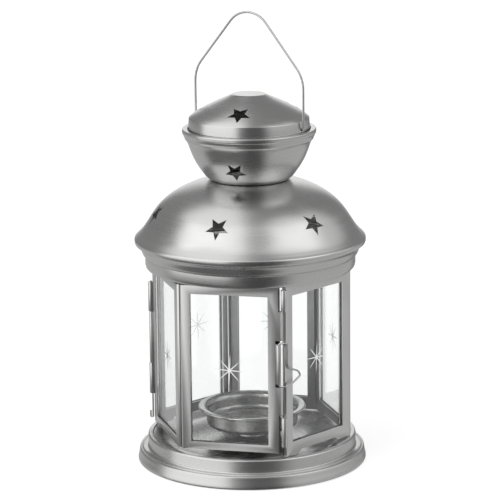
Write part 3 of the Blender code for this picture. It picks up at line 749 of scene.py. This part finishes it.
# Painted shade: the faces at the back of the stile's notches get the same dark metal, standing in for the
# shade in these recesses.
door_right.data.materials.append(painted_shade_metal)
for face in door_right.data.polygons:
    in_shade = face.center.y > (BC.face + 3.0) * MM and face.normal.y < -0.9
    if in_shade and face.center.x > (BC.half - 6) * MM:
        face.material_index = 2
glass_pane("glass_door_left", AB, door_levels, (STILE, STILE), "door", "door_pane_left", grey_star)
glass_pane("glass_door_right", BC, door_levels, right_stiles, "door", "door_pane_right", white_star)

# ---------------------------------------------------------------- Clasp
# A closed loop of drawn wire: its leg turns in the curl, its front passes round the corner over the keeper
# and ends in a rounded thumb piece.
turn_door = Matrix.Rotation(BC.turn, 3, "Z")
turn_fixed = Matrix.Rotation(CD.turn, 3, "Z")
leg = turn_door @ Vector((*curl, 0))
stand_off = 1.3
clasp_bend = 2.3
clasp_radius = 0.58
over_face = CD.face - stand_off
corner = turn_fixed @ Vector((-CD.half - 0.4, over_face - 0.2, 0))
clasp_top, clasp_low = 84.9, 59.1
loop = [(1.4, clasp_top), (1.4, 71.8), (3.4, 69.4), (10.8, 66.6), (12.9, 63.4), (6.2, 60.2)]
route = [leg + Vector((0, 0, clasp_low)), leg + Vector((0, 0, clasp_top)), corner + Vector((0, 0, clasp_top))]
route += [turn_fixed @ Vector((along - CD.half, over_face, z)) for along, z in loop]
route.append(corner + Vector((0, 0, clasp_low + 0.1)))
clasp = bent_wire("wire_clasp", rounded_path(route, clasp_bend, closed=True), clasp_radius, True)
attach(clasp, "clasp")
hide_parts("clasp_wire")

# ---------------------------------------------------------------- Collar
# A band round the top of the frames, stepped out to a flared edge that the roof rests on.
low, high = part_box("collar")
flare = high.x / MM
z0 = low.z / MM
z1 = high.z / MM
edge = z0 + 7.3
collar_wall = 0.6
sweep = [(flare - 0.9, z1 - 1.1), (flare - 2.5, z1 - 2.8), (band + 1.5, edge + 1.2),
         (band + 0.4, edge + 0.25)]
collar_outer = [(flare, z1), (flare - 0.35, z1 - 0.6), *flowing(sweep, 4), (band, edge - 0.4),
                (band + 0.05, z0 + 2.2), (band - 0.3, z0 + 0.7), (band - 0.9, z0)]
collar = turned("spun_collar", sheet_loop(collar_outer, collar_wall))
collar.data.materials.append(spun_metal)
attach(collar, "lantern")
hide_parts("collar")

# ---------------------------------------------------------------- Dome
# A bell-shaped roof spun from sheet with a rolled hem and six pierced stars.


def star_points(outer, inner):
    """Outline of a five-pointed star with one point down."""
    spots = []
    for i in range(10):
        reach = inner if i % 2 else outer
        angle = math.radians(-90 + 36 * i)
        spots.append((reach * math.cos(angle), reach * math.sin(angle)))
    return spots


def pierce(obj, count, first, radius, height, slope, outer, inner):
    """Cuts a ring of five-pointed stars square to a turned wall."""
    reach = 4.5
    bm = bmesh.new()
    for i in range(count):
        azimuth = math.radians(first + i * 360 / count)
        centre = Vector((radius * math.sin(azimuth), -radius * math.cos(azimuth), height)) * MM
        turn = Matrix.Rotation(azimuth, 4, "Z") @ Matrix.Rotation(math.radians(-slope), 4, "X")
        begin = len(bm.verts)
        prism(bm, star_points(outer, inner), -reach, reach, False)
        bm.verts.ensure_lookup_table()
        bmesh.ops.transform(bm, matrix=Matrix.Translation(centre) @ turn, verts=bm.verts[begin:])
    bmesh.ops.recalc_face_normals(bm, faces=bm.faces)
    mesh = bpy.data.meshes.new("stars")
    bm.to_mesh(mesh)
    bm.free()
    tool = link("stars", mesh)
    step = obj.modifiers.new("Stars", "BOOLEAN")
    step.operation = "DIFFERENCE"
    step.solver = "EXACT"
    step.object = tool
    bpy.context.view_layer.update()
    baked(obj)
    bpy.data.objects.remove(tool, do_unlink=True)


low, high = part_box("dome")
hem = high.x / MM
z0 = low.z / MM
z1 = high.z / MM
neck = 23.4
bore = 17.5
dome_wall = 0.6
bell = [(neck, z1), (30.0, z1 - 1.6), (37.6, z1 - 4.5), (44.2, z1 - 7.9), (49.8, z1 - 11.9),
        (54.2, z1 - 16.2), (57.5, z1 - 20.6), (60.2, z1 - 24.8), (62.6, z1 - 28.4), (64.6, z1 - 30.9),
        (66.3, z1 - 32.6)]
roof = [(bore, z1), (neck - 1.5, z1), *flowing(bell, 4), *arc((hem - 1.6, z0 + 2.0), 1.6, 60, 0, 6),
        (hem, z0 + 0.5), (hem - 0.2, z0)]
dome = turned("spun_dome", sheet_loop(roof, dome_wall))
pierce(dome, count=6, first=-19.5, radius=55.8, height=z1 - 18.3, slope=44, outer=7.3, inner=3.2)
dome.data.materials.clear()
dome.data.materials.append(spun_metal)
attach(dome, "lantern")
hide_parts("dome")

# ---------------------------------------------------------------- Finial bowl
# A bell-mouthed bowl with fine steps under its rolled hem and three pierced stars.
low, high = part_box("finial_bowl")
hem = high.x / MM
z0 = low.z / MM
z1 = high.z / MM
mouth = 36.2
bowl_wall = 0.5
belly = [(23.0, z0), (25.1, z0 + 1.6), (26.9, z0 + 3.6), (30.1, z0 + 8.2), (32.7, z0 + 12.8),
         (34.6, z0 + 17.4), (35.9, z0 + 21.1), (36.6, z0 + 22.6)]
bowl_outer = [(mouth, z1 - 0.1), (mouth + 0.4, z1), *arc((hem - 0.7, z1 - 0.7), 0.7, 90, 0, 4),
              (hem, z1 - 1.15), (hem - 0.15, z1 - 1.25), (hem, z1 - 1.35),
              *arc((hem - 0.6, z1 - 2.3), 0.6, 0, -60, 3), (38.6, z1 - 3.4), (38.5, z1 - 4.2),
              (37.9, z1 - 4.5), (37.8, z1 - 5.9), (37.3, z1 - 6.3), *flowing(belly[::-1], 4),
              (21.8, z0), (bore, z0)]
bowl = turned("spun_bowl", sheet_loop(bowl_outer, bowl_wall))
pierce(bowl, count=3, first=-15.4, radius=30.7, height=z0 + 9.1, slope=-30, outer=6.7, inner=3.1)
bowl.data.materials.clear()
bowl.data.materials.append(spun_metal)
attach(bowl, "lantern")
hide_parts("finial_bowl")

# ---------------------------------------------------------------- Finial cap
# A low cone with a flat top on an upright band that sits inside the bowl, with three pierced stars and the
# two holes of the hanging loop.
low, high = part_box("finial_cap")
band_r = high.x / MM
z0 = low.z / MM
z1 = high.z / MM
shoulder = z1 - 14.0
cap_wall = 0.6
cone = [(9.6, z1), (13.0, z1 - 1.6), (19.3, z1 - 4.4), (25.2, z1 - 7.3), (30.2, z1 - 10.1), (33.0, z1 - 11.9),
        (34.5, z1 - 13.1)]
cap_outer = [(0, z1), (9.2, z1), *flowing(cone, 3), *arc((band_r - 0.8, shoulder - 0.1), 0.5, 60, 0, 3),
             (band_r - 0.2, shoulder - 2.0), (band_r, shoulder - 4.0), (band_r, z0)]
cap = turned("spun_cap", sheet_loop(cap_outer, cap_wall))
pierce(cap, count=3, first=-12.4, radius=26.6, height=z1 - 8.0, slope=64, outer=7.2, inner=3.35)
low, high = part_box("bail_handle")
bail_azimuth = math.radians(58)
bail_radius = 0.65
bail_hole = bail_radius + FIT
pivot_z = low.z / MM + bail_radius
bores = shape("bail_bores", [(rod, ((0, 0), bail_hole, (-band_r - 3, band_r + 3)))])
bores.matrix_world = (Matrix.Translation((0, 0, pivot_z * MM)) @ Matrix.Rotation(bail_azimuth, 4, "Z")
                      @ Matrix.Rotation(math.radians(90), 4, "X"))
step = cap.modifiers.new("Bail holes", "BOOLEAN")
step.operation = "DIFFERENCE"
step.solver = "EXACT"
step.object = bores
bpy.context.view_layer.update()
baked(cap)
bpy.data.objects.remove(bores, do_unlink=True)
cap_metal = satin("cap_satin_metal", (0.66, 0.66, 0.655), 0.26, rings=0.28, mottle=0.015)
cap.data.materials.clear()
cap.data.materials.append(cap_metal)
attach(cap, "lantern")
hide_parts("finial_cap")

# ---------------------------------------------------------------- Hanging loop
# Drawn wire bent to a house shape with a round ridge; both ends turn in through the holes of the cap.
reach = band_r + 0.75 + bail_radius
crown = high.z / MM - bail_radius - pivot_z
ridge = 15.6
loop_bend = 7.0
leg_points = [(band_r - 1.5, 0), (reach, 0), (reach, 30.0), (11.9, 60.5)]
ridge_points = []
for angle in (40, 30, 20, 10):
    turn = math.radians(angle)
    ridge_points.append((ridge * math.sin(turn), crown - ridge * (1 - math.cos(turn))))
half_loop = [*leg_points, *ridge_points]
path = [*half_loop, (0, crown), *[(-u, z) for u, z in half_loop[::-1]]]
route = [Vector((u * math.sin(bail_azimuth), -u * math.cos(bail_azimuth), pivot_z + z)) for u, z in path]
bail = bent_wire("wire_loop", rounded_path(route, loop_bend), bail_radius)
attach(bail, "bail")
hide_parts("bail_handle")
